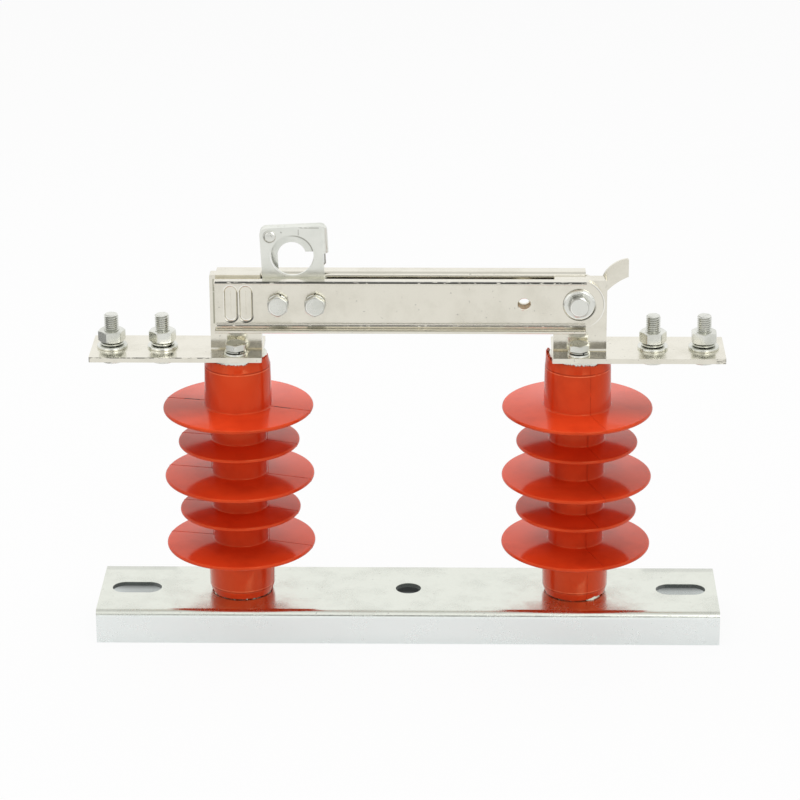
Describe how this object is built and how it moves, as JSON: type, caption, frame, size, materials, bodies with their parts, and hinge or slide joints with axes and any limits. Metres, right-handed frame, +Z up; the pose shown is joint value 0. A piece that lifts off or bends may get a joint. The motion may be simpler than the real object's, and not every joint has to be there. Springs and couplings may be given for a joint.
{
  "type": "disconnect switch",
  "caption": "Single-pole knife disconnect switch: a channel base, ribbed post insulators, stud terminals and a swinging double blade with a ring latch.",
  "frame": {"origin": "middle of the base channel's underside", "axes": "+X along the base from the ring latch to the blade's pivot, +Y away from the side with the blade's bolt heads, +Z up"},
  "size_m": [0.43, 0.1028, 0.2909],
  "materials": {
    "galvanised_steel": "dull galvanised",
    "silicone_rubber": "semi-gloss moulded",
    "resin_rod": "smooth",
    "zinc_steel": "satin zinc plate",
    "tinned_copper": "satin tin plate",
    "plated_sheet": "satin zinc plate",
    "spring_wire": "bright wire"
  },
  "bodies": {
    "base": {"base_channel": "galvanised_steel", "left_insulator_housing": "silicone_rubber", "left_insulator_rod": "resin_rod", "left_upper_fitting": "galvanised_steel", "left_lower_fitting": "galvanised_steel", "left_base_washer": "zinc_steel", "left_base_bolt": "zinc_steel", "left_terminal_bar": "tinned_copper", "left_terminal_bolts": "zinc_steel", "left_terminal_flat_washers": "zinc_steel", "left_terminal_spring_washers": "zinc_steel", "left_terminal_nuts": "zinc_steel", "left_cap_bolts": "zinc_steel", "left_cap_flat_washers": "zinc_steel", "left_cap_spring_washers": "zinc_steel", "right_insulator_housing": "silicone_rubber", "right_insulator_rod": "resin_rod", "right_upper_fitting": "galvanised_steel", "right_lower_fitting": "galvanised_steel", "right_base_washer": "zinc_steel", "right_base_bolt": "zinc_steel", "right_terminal_bar": "tinned_copper", "right_terminal_bolts": "zinc_steel", "right_terminal_flat_washers": "zinc_steel", "right_terminal_spring_washers": "zinc_steel", "right_terminal_nuts": "zinc_steel", "right_cap_bolts": "zinc_steel", "right_cap_flat_washers": "zinc_steel", "right_cap_spring_washers": "zinc_steel", "fixed_contact": "tinned_copper", "pivot_bracket": "tinned_copper", "pivot_bolt": "zinc_steel", "pivot_washers": "zinc_steel", "pivot_nut": "zinc_steel"},
    "blade": {"front_blade": "tinned_copper", "rear_blade": "tinned_copper", "blade_bolts": "zinc_steel", "blade_spring_washers": "zinc_steel", "blade_nuts": "zinc_steel", "blade_sleeves": "zinc_steel"},
    "latch": {"latch_ring": "plated_sheet", "latch_rivet": "zinc_steel", "latch_spring": "spring_wire"}
  },
  "joints": [
    {"name": "blade_swing", "type": "hinge", "parent": "base", "child": "blade", "pos_m": [0.116, 0, 0.237], "axis": [0, 1, 0], "range_deg": [0, 87]},
    {"name": "latch_turn", "type": "hinge", "parent": "blade", "child": "latch", "pos_m": [-0.087, 0, 0.237], "axis": [0, 1, 0], "range_deg": [0, 15], "stiffness_Nm_per_rad": 0.08, "springref_deg": -28.65}
  ]
}
